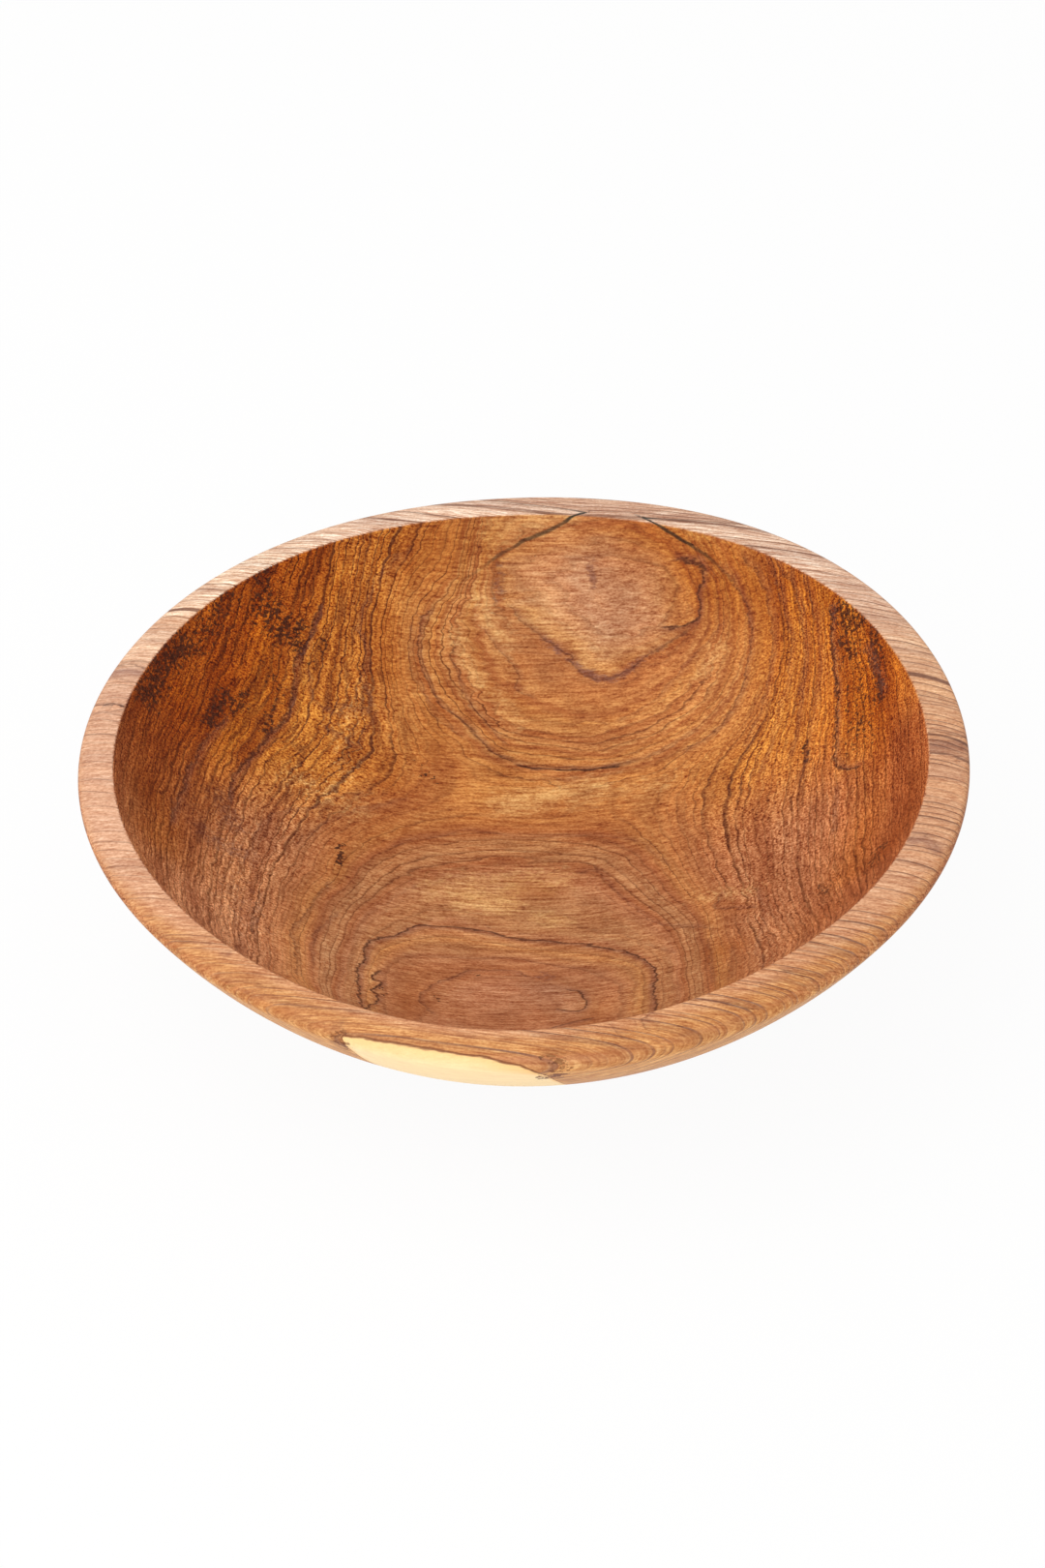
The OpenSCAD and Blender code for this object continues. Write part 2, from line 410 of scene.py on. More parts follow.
# The same on the lip, where they stop this far down its outer edge
LIP_LINE_DEEP = 3.0
LIP_LINES = (
    (0.9, -152, 19, -148, 19.3, -145, 19.1, -142, 17.9, -137, 15.5),
    (0.45, -152, 14, -148, 14.6, -145, 14.5, -141, 12.8, -138, 10.4),
    (0.6, -146, 41, -143, 41.7, -139, 41.2, -136, 39.5, -132, 36),
    (0.35, -147, 34, -145, 34.2, -141, 31.2, -135, 30.3),
    (0.4, -122, -93, -119, -94.3, -113, -97.8, -106, -99.8, -102, -100),
    (0.4, -140, 57, -137, 56.8, -132, 54.8, -124, 53.5),
    (0.65, 136, 2.4, 139, 2.7, 142, 3.6, 146, 2.8, 152, 2.4),
    (0.75, 135, -8, 138, -8.2, 143, -8.3, 146, -8.8, 152, -10.8),
    (0.4, 132, 35.5, 139, 34.9, 142, 34.2, 149, 31),
    (0.35, 133, 23.5, 140, 23.3, 144, 22.5, 151, 20),
    (0.4, 125, -53, 127, -51.3, 130, -48.6, 132, -48.1, 135, -50, 137, -53.9),
    (0.6, 82, -110.4, 84, -110.8, 93, -112, 99, -110.8),
    (0.4, 74, -115.1, 79, -115.3, 91, -116.2),
    (0.6, 52, -123.6, 60, -124.3, 68, -125.4, 75, -126),
    (0.35, 73, -120.7, 84, -121.1),
    (0.45, 2, -139.5, 5, -139.8, 17, -141.5, 23, -142.4, 31, -143, 38, -142.4),
    (0.4, 42, -135.2, 48, -136.4, 56, -136.7),
    (0.3, 90, -103.1, 106, -103.1),
    (0.5, 40, -128.6, 37, -130.7, 36.5, -133.1, 38, -135.8),
    (0.4, 26, -134.5, 28, -137, 29.5, -138.5),
    (0.45, -90, -121, -81, -124.3, -75, -125.5, -69, -127, -63, -128.8, -52, -130.4),
    (0.4, -100, -113, -94, -115.4, -88, -116.9, -80, -118.8),
    (0.3, -97, -119, -90, -121.4),
)
# Soft strokes in the hollow: strength, radius and path. Dark porous blotches:
STAINS = (
    (0.85, 4.5, -97, 100, -94, 92, -92, 84),
    (1, 4, -90, 90, -86, 86),
    (0.95, 3, -82, 91, -83, 84),
    (1, 1.6, -74, 90, -75, 86),
    (0.8, 1.2, -77, 82, -77.5, 80),
    (0.65, 5, -108, 84, -114, 72, -119, 62),
    (1, 4, -121, 60, -127, 50, -131, 38, -134, 28),
    (0.9, 2, -93, 99, -97, 91, -100, 83),
    (1, 3, -107, 54, -110, 47, -113, 40),
    (0.7, 3, -101, 60, -105, 50),
    (0.8, 2.2, -92, 56, -94, 50),
    (0.6, 2.5, -89, 63, -91, 59),
    (0.5, 4, -94, 72, -90, 67),
    (1, 1.7, -66, 12, -66.5, 3),
    (0.5, 3, -38, 55, -35, 50),
    (0.5, 7, 116, 72, 118, 50, 118, 28),
    (1, 3.6, 112, 78, 115, 73, 119, 67),
    (0.9, 2.2, 113, 68, 117, 60),
    (1, 2.2, 124, 64, 124, 56, 125, 46, 125, 36),
    (0.5, 2, 115, 48, 116, 34),
    (0.8, 1.6, 100, 41, 100.5, 33),
    (0.6, 3, 102, -34, 102, -40),
    (0.7, 3, 120, -36, 117, -44),
    (0.7, 1.2, -32, -66, -30, -70),
    (0.8, 1.6, -50, -66, -48, -72),
    (0.6, 1.2, -21, -49, -17, -50),
    (0.5, 1.2, 2.3, 126.4, 1.9, 125),
)
# Where the wood turns purplish
PURPLES = (
    (0.85, 7, -108, 12, -104, 3),
    (0.8, 7, -112, -9, -100, -10),
    (0.6, 8, -118, 8, -119, -4),
    (1, 2, 24, 122, 25, 118),
    (0.8, 2.5, -9, 125, -10, 115),
    (0.8, 1.9, 7, 103, 16, 97.5, 20, 93.5),
    (1, 1.9, 20, 93.5, 26, 90, 34, 89, 42, 93),
    (0.7, 1.6, 42, 93, 50, 95.5),
    (0.9, 2, 5, -50.3, 7, -50.3),
    (0.7, 3, 4, -50, 8, -51),
    (0.5, 12, -100, -30, -97, -50),
    (0.5, 4, -60, -86, -58, -94),
)
# Where it is paler and more yellow
YELLOWS = (
    (0.75, 9, -22, -6, -8, -8),
    (0.6, 9, -34, -2, -8, 4, 12, 4),
    (0.55, 6, 4, -15, 13, -18),
    (0.55, 5, 60, -14, 69, -15.5, 78, -18),
    (0.75, 8, -8, 41, 10, 45, 26, 47),
    (0.5, 6, 36, 44, 52, 46),
    (0.8, 5, -26, 103, -22, 95, -18, 90),
    (0.6, 6, -10, 84, -4, 76),
    (0.35, 10, -17, 113, -6, 104),
    (0.7, 4, 64, 84, 71, 89),
    (0.4, 7, -60, 78, -68, 60, -66, 44),
    (0.5, 8, -84, 36, -74, 34, -60, 30),
    (0.25, 5, -50, -16, -30, -16, 0, -20, 26, -26, 42, -36),
    (0.8, 5, -14, 129, -2, 132, 8, 134, 16, 134.5),
    (0.8, 5, 52, 127.5, 66, 122),
)
# Where it is redder
REDS = (
    (0.7, 7, -40, 24, -20, 34, 10, 36, 34, 28),
    (1, 9, -56, 30, -40, 42, -30, 56),
    (0.8, 4, 66, -21, 79, -29),
    (0.5, 10, -40, -74, -10, -86, 20, -78),
    (0.5, 6, 6, 104, 22, 84, 40, 84, 58, 90),
    (0.5, 6, 88, 40, 80, 20, 84, -20),
)

# Where it is lighter, and where it is deeper and more orange
LIGHTS = (
    (1, 10, -119, 66, -110, 75, -98, 84, -88, 88),
    (0.9, 7, -89, 58, -79, 63, -69, 67),
    (0.6, 9, -118, 27, -101, 27),
    (1, 11, -99, -10, -98, -30, -94, -52),
    (0.9, 8, 107, 73, 107, 60, 106, 43, 105, 24),
    (0.35, 11, 4, 112, 20, 114, 24, 106),
    (0.65, 9, -18, 116, -10, 108),
    (0.4, 7, 16, 94, 28, 90),
    (0.8, 8, -54, 115, -51, 110),
    (0.5, 6, -84, 80, -86, 72),
    (0.5, 7, 101, 88, 104, 76),
    (0.4, 6, 134, 44, 137, 28),
    (0.5, 8, -35, -54, -29, -75),
    (0.6, 9, 14, -73, 30, -76),
    (0.35, 7, -51, -4, -46, -8),
    (0.5, 9, -16, 39, 2, 40, 6, 28),
    (0.4, 10, -20, -6, -8, -13, 5, -20),
    (0.6, 8, 56, 86, 56, 70),
    (0.6, 7, -70, 44, -80, 27),
    (0.5, 7, -34, 108, -34, 95),
    (0.8, 8, 90, 57, 89, 37),
    (0.4, 7, -4, 66, 8, 66),
    (0.4, 6, 122, 60, 124, 50),
)
DEEPS = (
    (0.8, 6, 134, 12, 133, -12, 129, -31, 121, -42),
    (0.8, 4, 121, 62, 124, 46, 125, 30, 124, 12),
    (0.7, 7, 60, 119, 60, 108),
    (1, 9, -135, 20, -134, 5, -131, -10),
    (0.7, 8, -120, 36, -122, 20, -125, 0, -122, -16),
    (0.8, 7, -112, 66, -108, 50),
    (0.6, 7, 113, -84, 105, -96),
    (1, 11, 40, 126, 52, 122, 66, 111, 80, 100, 91, 94),
    (1, 7, -53, 103, -51, 88),
    (0.4, 8, -54, 22, -50, 10),
    (0.5, 6, -68, 56),
    (1, 9, -46, 120, -34, 125, -14, 127),
    (0.5, 7, -34, 79, -33, 62),
    (0.5, 6, -67, 18, -67, 0),
    (0.6, 8, -129, -28, -128, -52, -125, -62),
    (0.5, 8, 94, -62, 103, -56),
    (0.7, 6, 64, -50, 72, -50),
    (0.5, 6, -48, -38, -48, -46),
    (0.7, 6, -3, -1, 6, -2),
    (0.7, 6, -51, 52, -50, 44),
    (0.6, 6, -52, 106, -51, 94),
    (0.8, 6, 55, 112, 57, 100),
    (0.35, 8, 60, 14, 73, 14, 71, 2),
)
# Where it is more orange
ORANGES = (
    (0.9, 10, 56, 112, 73, 107, 91, 99, 90, 77),
    (1, 11, -96, 80, -93, 70, -102, 50, -111, 28, -117, 6),
    (0.95, 8, 118, 50, 122, 33, 122, 16, 120, -5, 111, -37),
    (1, 9, -124, 44, -126, 20, -127, -5, -124, -30),
    (0.9, 9, 88, 100, 98, 92, 108, 82, 114, 72),
    (0.7, 8, -72, 108, -80, 90),
    (0.8, 8, 52, 128, 66, 122),
)
# Painted sheen in the hollow: where glossy light makes it look paler and greyer
PAINTED_SHEENS = (
    (1, 9, -17, 120, -12, 112, 2, 108, 12, 100, 22, 97),
    (0.8, 8, 12, -56, 19, -64, 18, -76),
)
HOLLOW_STROKES = {
    "light": LIGHTS, "deep": DEEPS, "orange": ORANGES, "painted_sheen": PAINTED_SHEENS,
    "purple": PURPLES, "yellow": YELLOWS, "red": REDS,
}
# Dark spots outside, at the two tips of the pale sapwood
TIP_STAINS = (
    (1, 2, -60.5, -137.5, -57.5, -136.5),
    (1, 2.4, 5, -145, 11, -147),
)


def along(points, path):
    """A curve's second value at each point, where x is its first."""
    return np.interp(points[:, 0], *places(path).T)


# The pale sapwood in front: how far below the lip's outer edge it begins and ends, by x
SAP_TOP = (-64, 30, -60, 6, -58, 4, -52, 3.2, -44, 2.6, -26, 2.2, -14, 3, -1, 6, 6, 11, 11, 26,
           14, 44, 15, 70)
SAP_LOW = (-64, -5, -60, 2, -57, 9, -52, 24, -47, 36, -39, 48, -28, 58, -14, 64, -2, 64, 7, 58,
           13, 48, 17, 20)
# The heartwood at the back ends at these two lines in plan, which meet in two points
RIM_LINE = (-60, 158, -16, 144.3, -3.4, 141.5, 9, 138.7, 21.5, 134.6, 32, 139, 44, 130.6,
            50, 129.9, 61.4, 129, 77.5, 127.2, 120, 124)
HOLLOW_LINE = (-70, 70, -24, 118, -11.5, 124.5, -7, 126.3, -1, 128.4, 8, 130.2, 14, 131.5,
               21.5, 134, 32, 139, 44, 129.9, 47.6, 127, 55, 122.6, 61, 118.8, 67.2, 114.5,
               71, 111, 74.5, 106.8, 110, 60)
# How strongly the line between shows
HEART_INK = (
    (1, 4, 16, 133, 21, 134),
    (0.75, 6, -2, 128.5, 12, 131.5),
    (0.5, 5, -12, 124, -4, 127.5),
    (0.25, 5, -22, 118, -12, 124),
    (0.5, 9, -16, 144, 4, 140, 16, 137),
    (1, 4, 44, 130, 48, 127),
    (0.85, 5, 50, 125.5, 60, 119.5),
    (0.6, 5, 61, 118.8, 67, 114.5),
    (0.3, 5, 68, 114, 74, 108),
    (0.4, 8, 50, 130, 76, 127.5),
)
# The same boundary outside, as an eye: its middle and half width along X, and how far down
EYE_X = 31.0
EYE_HALF = 49.0
EYE_DEEP = 66.0
# The heartwood ends at the back only, past this Y
HEART_Y = 60
# Zones under the first are in the hollow, and zones over the second are outside
HOLLOW_ZONE = -0.5
OUTSIDE_ZONE = 0.6
# Stored distances stop here: those to a boundary, and those down the section
EDGE_REACH = 20
DOWN_REACH = (-60, 120)
# Darker bands and spots on the lip
LIP_BANDS = (
    (0.4, 3, -126, 53.5, -140, 55.5),
    (0.9, 3, -129, 34.5, -140, 37.5, -148, 37.5),
    (0.4, 4, -134, 8, -152, 10),
    (0.85, 4.6, 134, -3.5, 152, -3.5),
    (0.75, 2.6, 128, -52.5, 132, -50.5, 137, -56),
    (0.35, 3.5, 120, -68, 130, -72),
    (0.9, 1.5, -98, -104.8, -96, -104.6),
    (0.6, 1.5, -81, -116, -78, -116.4),
    (0.5, 2.2, -22, -138, -17, -139.6),
    (0.4, 2, -9, -140, -4, -141.3),
    (0.7, 2.2, -63, -136.5, -58, -133),
    (0.5, 2.8, 37, -131, 41, -133),
    (0.4, 2.5, 54, -137, 60, -135),
    (0.5, 3, 6, -146, 16, -138),
)


def slope_on(grid, ring):
    """How fast ring depth changes along the surface, per millimetre."""
    around = np.roll(grid, -1, 1) - np.roll(grid, 1, 1)
    turned = (np.roll(ring, -1, 1) - np.roll(ring, 1, 1)) / np.linalg.norm(around, axis=2)
    climb = np.gradient(ring, axis=0) / np.linalg.norm(np.gradient(grid, axis=0), axis=2)
    return np.hypot(turned, climb)


def depth_marks(grid):
    """Ring depth over the grid and the two middle points, and how fast it changes."""
    x, y, z = grid.reshape(-1, 3).T
    bulge = bulge_sheet()
    ring = (plain_depth(y, z) + bulge(x, y)).reshape(grid.shape[:2])
    steep = slope_on(grid, ring)
    middle = bulge(np.zeros(1), np.zeros(1))[0]
    floor, foot = (plain_depth(0, height) + middle for height in (FLOOR_T, 0))
    return (np.r_[ring.ravel(), floor, foot],
            np.r_[steep.ravel(), steep[0].mean(), steep[-1].mean()])


def below_edge(grid, zones):
    """How far down the section from the start of the lip's outer edge each point lies."""
    steps = np.linalg.norm(np.diff(grid, axis=0, prepend=grid[:1]), axis=2)
    reach = np.cumsum(steps, axis=0)
    start = np.flatnonzero(zones == 0)[-1]
    down = reach - reach[start]
    return np.r_[down.ravel(), down[0, 0], down[-1, 0]]


def heart_edge(points, zone, down):
    """How far outside the heartwood at the back each point lies, less than 0 within it."""
    x, y, _ = points.T
    wedge = np.minimum(along(points, RIM_LINE) - y, y - along(points, HOLLOW_LINE))
    eye = EYE_HALF * (np.hypot((x - EYE_X) / EYE_HALF, down / EYE_DEEP) - 1)
    field = np.where(zone > OUTSIDE_ZONE, eye, wedge)
    return np.where(y > HEART_Y, field.clip(-EDGE_REACH, EDGE_REACH), EDGE_REACH)


def wood_marks(points, grid, zone):
    """Smooth values over the mesh that the wood's nodes read."""
    x, y, _ = points.T
    hollow = zone < HOLLOW_ZONE
    ring, steep = depth_marks(grid)
    down = below_edge(grid, zone[:-2:SIDES])
    front = (y < 0) & ~hollow
    sap = np.minimum(down - along(points, SAP_TOP), along(points, SAP_LOW) - down)
    side, ink = thin_lines(points, LINES)
    side_2, ink_2 = thin_lines(points, LINES_BESIDE)
    lip_side, lip_ink = thin_lines(points, LIP_LINES)
    return {
        "ring": ring,
        "steep": steep,
        "lip": 1 - np.abs(zone),
        "outside": np.clip(zone, 0, 1),
        "down": down.clip(*DOWN_REACH),
        "sap": np.where(front, sap.clip(-EDGE_REACH, EDGE_REACH), -EDGE_REACH),
        "heart": heart_edge(points, zone, down),
        "heart_ink": (y > HEART_Y) * strokes(points, HEART_INK),
        "line": np.where(hollow, side, lip_side),
        "line_ink": np.where(hollow, ink, lip_ink * (down < LIP_LINE_DEEP)),
        "line_2": np.where(hollow, side_2, LINE_REACH),
        "line_2_ink": np.where(hollow, ink_2, 0),
        "stain": np.where(hollow, strokes(points, STAINS), strokes(points, TIP_STAINS)),
        "band": ~hollow * strokes(points, LIP_BANDS),
        **{name: hollow * strokes(points, table) for name, table in HOLLOW_STROKES.items()},
    }


# Nodes

class Nodes:
    """Adds nodes to a tree. Each call returns the new node or its output."""

    def __init__(self, tree):
        self.tree = tree
        tree.nodes.clear()

    def feed(self, socket, value):
        """Links an output to the socket, or sets the socket's own value."""
        if isinstance(value, bpy.types.NodeSocket):
            self.tree.links.new(value, socket)
        else:
            socket.default_value = value

    def add(self, kind, *values, **settings):
        """A new node with these settings, and the values fed to its first inputs."""
        node = self.tree.nodes.new("ShaderNode" + kind)
        for name, value in settings.items():
            setattr(node, name, value)
        for socket, value in zip(node.inputs, values):
            self.feed(socket, value)
        return node

    def fill(self, node, values):
        """The node, with these values fed to the inputs that they name."""
        for name, value in values.items():
            self.feed(node.inputs[name], value)
        return node

    def math(self, operation, *values):
        return self.add("Math", *values, operation=operation).outputs[0]

    def chain(self, operation, values):
        """One operation over all the values, from the first to the last."""
        total = values[0]
        for value in values[1:]:
            total = self.math(operation, total, value)
        return total

    def sum(self, *values):
        return self.chain("ADD", values)

    def times(self, *values):
        return self.chain("MULTIPLY", values)

    def most(self, *values):
        return self.chain("MAXIMUM", values)

    def weighted(self, values, weights):
        """Sum of the values, each times its weight."""
        return self.sum(*[self.times(value, weight) for value, weight in zip(values, weights)])

    def rest(self, value):
        """What is left of 1."""
        return self.math("SUBTRACT", 1, value)

    def line(self, value, slope, start):
        """Straight line: start where the value is 0, and start + slope where it is 1."""
        return self.math("MULTIPLY_ADD", value, slope, start)

    def ease(self, value, low, high, start=0, end=1):
        """Smooth step from start to end as value goes from low to high."""
        node = self.add("MapRange", value, low, high, start, end, interpolation_type="SMOOTHSTEP")
        return node.outputs[0]

    def zone(self, x, y, across, along):
        """Soft region in plan: a smooth step along X times one along Y."""
        return self.times(self.ease(x, *across), self.ease(y, *along))

    def mark(self, name):
        """One of the values stored on the mesh."""
        return self.add("Attribute", attribute_name=name).outputs["Fac"]

    def shrink(self, place, sizes):
        """Place in units of the sizes, one for each axis."""
        shares = tuple(1 / size for size in sizes)
        return self.add("VectorMath", place, shares, operation="MULTIPLY").outputs[0]

    def noise_fac(self, node, detail, rough):
        """Output of a noise node, shifted to lie about 0."""
        self.fill(node, {"Scale": 1, "Detail": detail, "Roughness": rough})
        return self.math("SUBTRACT", node.outputs["Fac"], 0.5)

    def noise(self, place, name):
        """Smooth noise of the kind that GRAINS gives under this name."""
        sizes, detail, rough = GRAINS[name]
        node = self.add("TexNoise", self.shrink(place, sizes), noise_dimensions="3D")
        return self.noise_fac(node, detail, rough)

    def band_noise(self, value, size, detail=1, rough=0.5):
        """Smooth noise along one value."""
        node = self.add("TexNoise", noise_dimensions="1D")
        self.fill(node, {"W": self.math("DIVIDE", value, size)})
        return self.noise_fac(node, detail, rough)

    def bands(self, phase):
        """Bands one unit of phase wide: the share of the way through each, and its own luck."""
        luck = self.add("TexWhiteNoise", noise_dimensions="1D")
        self.fill(luck, {"W": self.math("FLOOR", phase)})
        return self.math("FRACT", phase), luck.outputs["Value"]

    def mix(self, share, a, b, blend="MIX"):
        """Colours a and b, mixed by share."""
        node = self.tree.nodes.new("ShaderNodeMix")
        node.data_type = "RGBA"
        node.blend_type = blend
        # A mix node has sockets for numbers and vectors too: these are the ones for colour
        for i, value in ((0, share), (6, a), (7, b)):
            self.feed(node.inputs[i], value)
        return node.outputs[2]

    def ramp(self, value, low, high, stops):
        """Colour along a value, through stops of a value and a colour."""
        node = self.add("ValToRGB", self.add("MapRange", value, low, high, 0, 1).outputs[0])
        elements = node.color_ramp.elements
        while len(elements) < len(stops):
            elements.new(0.5)
        for element, (at, colour) in zip(elements, stops):
            element.position = (at - low) / (high - low)
        for element, (at, colour) in zip(elements, stops):
            element.color = colour
        return node.outputs[0]


# Noise: the sizes of its grains along three axes, its detail and its roughness. The first of
# them lie on the bowl, and their first axis runs along the wood's grain.
GRAINS = {
    "wobble": ((60, 13, 13), 2, 0.5),
    "kink": ((20, 5, 5), 2, 0.5),
    "jag": ((14, 2.4, 2.4), 2, 0.5),
    "hair": ((5, 0.6, 0.6), 2, 0.5),
    "fibre": ((15, 0.9, 0.9), 2, 0.65),
    "speck": ((1.1, 0.6, 0.6), 1, 0.6),
    "coarse": ((2.6, 1.3, 1.3), 2, 0.6),
    "streak": ((26, 2.2, 2.2), 3, 0.6),
    "bold": ((2.8, 1.1, 1.8), 2, 0.65),
    "shift": ((9, 6, 6), 2, 0.5),
    "gaps": ((6, 1, 1), 2, 0.5),
    "lip_sway": ((44, 11, 11), 1.5, 0.5),
    "lip_gaps": ((30, 5, 5), 2, 0.5),
    # These lie along the lip's lines: X, then across them, then down the edge
    "lip_slant": ((26, 1.2, 15), 2, 0.5),
    "lip_fibre": ((12, 0.45, 12), 2, 0.75),
    # These lie along the rings, and their first axis is depth
    "stream": ((1.5, 1, 1), 3, 0.6),
    "drift": ((6, 3, 3), 1, 0.5),
    "ring_streak": ((0.9, 0.5, 0.5), 2, 0.65),
    "ring_gaps": ((2.5, 0.5, 0.5), 2, 0.5),
    "thread": ((0.5, 0.2, 0.2), 2, 0.6),
}
# Pores: their sizes, and the distances from a pore's middle where it ends and is deepest
PORES = (3, 0.9, 0.9)
PORE_EDGE = (0.3, 0.12)
# Along the rings, this much of X or Y counts as one unit of the noise's grains
RUN_LENGTH = 26

# Tones of the wood, as linear colours
GOLD = (0.54, 0.21, 0.058, 1)
TAN = (0.46, 0.162, 0.052, 1)
RUSSET = (0.36, 0.108, 0.034, 1)
CLAY = (0.43, 0.165, 0.068, 1)
DRAB = (0.44, 0.185, 0.07, 1)
UMBER = (0.15, 0.036, 0.012, 1)
COFFEE = (0.05, 0.012, 0.005, 1)
BLACKISH = (0.022, 0.018, 0.01, 1)
DARK_LINE = (0.15, 0.04, 0.012, 1)
ROSE = (0.52, 0.255, 0.135, 1)
MAUVE = (0.18, 0.06, 0.04, 1)
BRICK = (0.39, 0.11, 0.028, 1)
FRONT_EYE = (0.46, 0.18, 0.085, 1)
OCHRE = (0.58, 0.245, 0.078, 1)
STRAW = (0.74, 0.4, 0.145, 1)
HONEY = (0.64, 0.285, 0.092, 1)
AMBER = (0.5, 0.19, 0.055, 1)
CREAM = (0.97, 0.74, 0.42, 1)
SUNNY = (0.94, 0.58, 0.25, 1)
WHITE = (1, 1, 1, 1)
# LIP_BACK is paler partly from the wood's own tone and partly from painted sheen
LIP_BACK = (0.86, 0.56, 0.385, 1)
LIP_SIDE = (0.74, 0.4, 0.24, 1)
LIP_RIGHT = (0.7, 0.34, 0.165, 1)
LIP_FRONT = (0.64, 0.29, 0.135, 1)
LIP_LINE = (0.24, 0.105, 0.058, 1)
LIP_DIM = (0.42, 0.215, 0.15, 1)
# The wood at both ends of the grain, towards the back and towards the front
FLANK_DARK = (0.36, 0.09, 0.012, 1)
FLANK_LIGHT = (0.56, 0.19, 0.03, 1)
FLANK_DARK_FRONT = (0.395, 0.128, 0.05, 1)
FLANK_LIGHT_FRONT = (0.55, 0.215, 0.088, 1)
# Tints, which multiply the wood's tone: end grain at the right, in its panel, and at the left
# towards the back and the front, the front of the left wall, and the soft part of a stain
END_RIGHT = (0.9, 0.66, 0.48, 1)
END_PANEL = (1.1, 1.17, 1.02, 1)
END_LEFT_BACK = (0.68, 0.44, 0.24, 1)
END_LEFT_FRONT = (0.8, 0.64, 0.5, 1)
LEFT_FRONT = (1.22, 1.32, 1.45, 1)
STAINED = (0.6, 0.45, 0.35, 1)
# Tints of the lip: painted sheen where it is pale, its bands, its heartwood, and painted bounce
# light from the floor on the wall below it in front
LIP_SHEEN = (1.15, 1.24, 1.24, 1)
LIP_BAND = (0.62, 0.56, 0.6, 1)
LIP_HEART = (0.82, 0.72, 0.66, 1)
FLOOR_BOUNCE_TINT = (1.22, 1.42, 1.5, 1)
# Tints of the strokes in the hollow, the last of them painted sheen
STROKE_TINTS = {
    "light": (1.28, 1.4, 1.38, 1),
    "deep": (0.82, 0.68, 0.5, 1),
    "orange": (1.06, 1, 0.7, 1),
    "painted_sheen": (1.04, 1.22, 1.45, 1),
}
# Tones of the rings in front and at the back, by depth, and the depths that they span
TONE_DEPTHS = (170, 200)
FRONT_TONES = (
    (172, TAN), (175, TAN), (178.5, GOLD), (180.1, RUSSET), (181.6, DRAB), (183.2, DRAB),
    (184.2, RUSSET), (185.2, CLAY), (186.8, DRAB), (188.4, DRAB), (189, CLAY), (190.4, OCHRE),
    (191.8, CLAY), (193, RUSSET), (194.5, FRONT_EYE), (198, FRONT_EYE),
)
BACK_TONES = (
    (172, TAN), (175, GOLD), (178.8, GOLD), (179.8, RUSSET), (180.2, OCHRE), (181.4, GOLD),
    (182.2, RUSSET), (182.5, OCHRE), (183.8, TAN), (184.3, RUSSET), (184.6, OCHRE),
    (185.5, GOLD), (186.3, RUSSET), (186.6, OCHRE), (187.5, TAN), (188.2, RUSSET),
    (188.6, OCHRE), (190.6, ROSE), (192, ROSE),
)
# How fast each channel falls where the wood is darker, and the darkest that it gets
SHADE_POWERS = (0.75, 1.25, 1.55)
DARKEST = 0.12


def tinted(n, colour, share, tint):
    """The colour multiplied by a tint, as far as share."""
    return n.mix(share, colour, tint, "MULTIPLY")


def deepened(n, colour, light):
    """The colour lighter or darker, as wood is: where it is darker it is redder too."""
    light = n.most(light, DARKEST)
    shades = [n.math("POWER", light, power) for power in SHADE_POWERS]
    return tinted(n, colour, 1, n.add("CombineColor", *shades).outputs[0])


# From here on, a name for a smooth step holds where it begins and where it ends, and then
# what it gives at both if that isn't 0 and 1. One for a straight line holds slope and start.
# Y where the tones of the back begin, on the eyes and on the flanks
EYES_BACK = (39, 47)
FLANKS_BACK = (0, 45)
# Noise along the rings: how it turns a flank from dark to light, and how it shades all tones
FLANK_TURN = (-0.34, 0.26)
DRIFT_SHARE = 1.2
STREAM_SHADE = (-0.22, 0.2, 0.9, 1.12)
FLANK_SHARE = (0.75, 0.25)
# Dark streaks along the rings, a few more of them at the left
STREAKS = (0.07, 0.2)
STREAKS_LEFT = (0, -60, 0, 0.05)
STREAK_SHARE = (0.45, 0.15)


def ring_tones(n, across, run, depth, side):
    """Broad tones along the rings."""
    x, y = across
    tones = [n.ramp(depth, *TONE_DEPTHS, stops) for stops in (FRONT_TONES, BACK_TONES)]
    eyes = n.mix(n.ease(y, *EYES_BACK), *tones)
    stream = n.noise(run, "stream")
    back = n.ease(y, *FLANKS_BACK)
    dark = n.mix(back, FLANK_DARK_FRONT, FLANK_DARK)
    light = n.mix(back, FLANK_LIGHT_FRONT, FLANK_LIGHT)
    drift = n.times(n.noise(run, "drift"), DRIFT_SHARE)
    flank = n.mix(n.ease(n.sum(stream, drift), *FLANK_TURN), dark, light)
    colour = n.mix(n.line(side, *FLANK_SHARE), eyes, flank)
    shade = n.ease(stream, *STREAM_SHADE)
    colour = tinted(n, colour, 1, n.add("CombineColor", shade, shade, shade).outputs[0])
    leftward = n.ease(x, *STREAKS_LEFT)
    streaks = n.ease(n.sum(n.noise(run, "ring_streak"), leftward), *STREAKS)
    return n.mix(n.times(streaks, n.line(side, *STREAK_SHARE)), colour, UMBER)


# Width of a ring, the depth past which the rings lie closer and how much, and their
# unevenness: its size and strength
RING_W = 1.8
CLOSE_FROM = 173
CLOSER = 0.65
RING_UNEVEN = (4, 1.5)
# Late wood of a ring and the thin line in it: how they rise and end over the ring's width
LATE_RISE = (0.35, 1)
LATE_END = (1, 0.985)
LATE_SHARE = 0.3
THIN_RISE = (0.72, 0.87)
THIN_END = (1, 0.96)
# The thin line shows more or less by ring, in patches, and where depth changes fast
RING_LUCK = (0, 0.8, 0.45, 1.1)
RING_PATCHES = (-0.18, 0.06, 0.4, 1)
CRISP = (0.04, 0.2)
# Its strength, how much more of it the flanks have, and what each place adds
RING_INK = 0.55
EYE_INK = (183, 188, 0, -0.38)
LEFT_INK = (-70, -105, 0, -0.4)
RIGHT_INK = (58, 95, 0, -0.42)
BACK_INK = (55, 90, 0, 0.3)
BACK_INK_X = (20, -20)


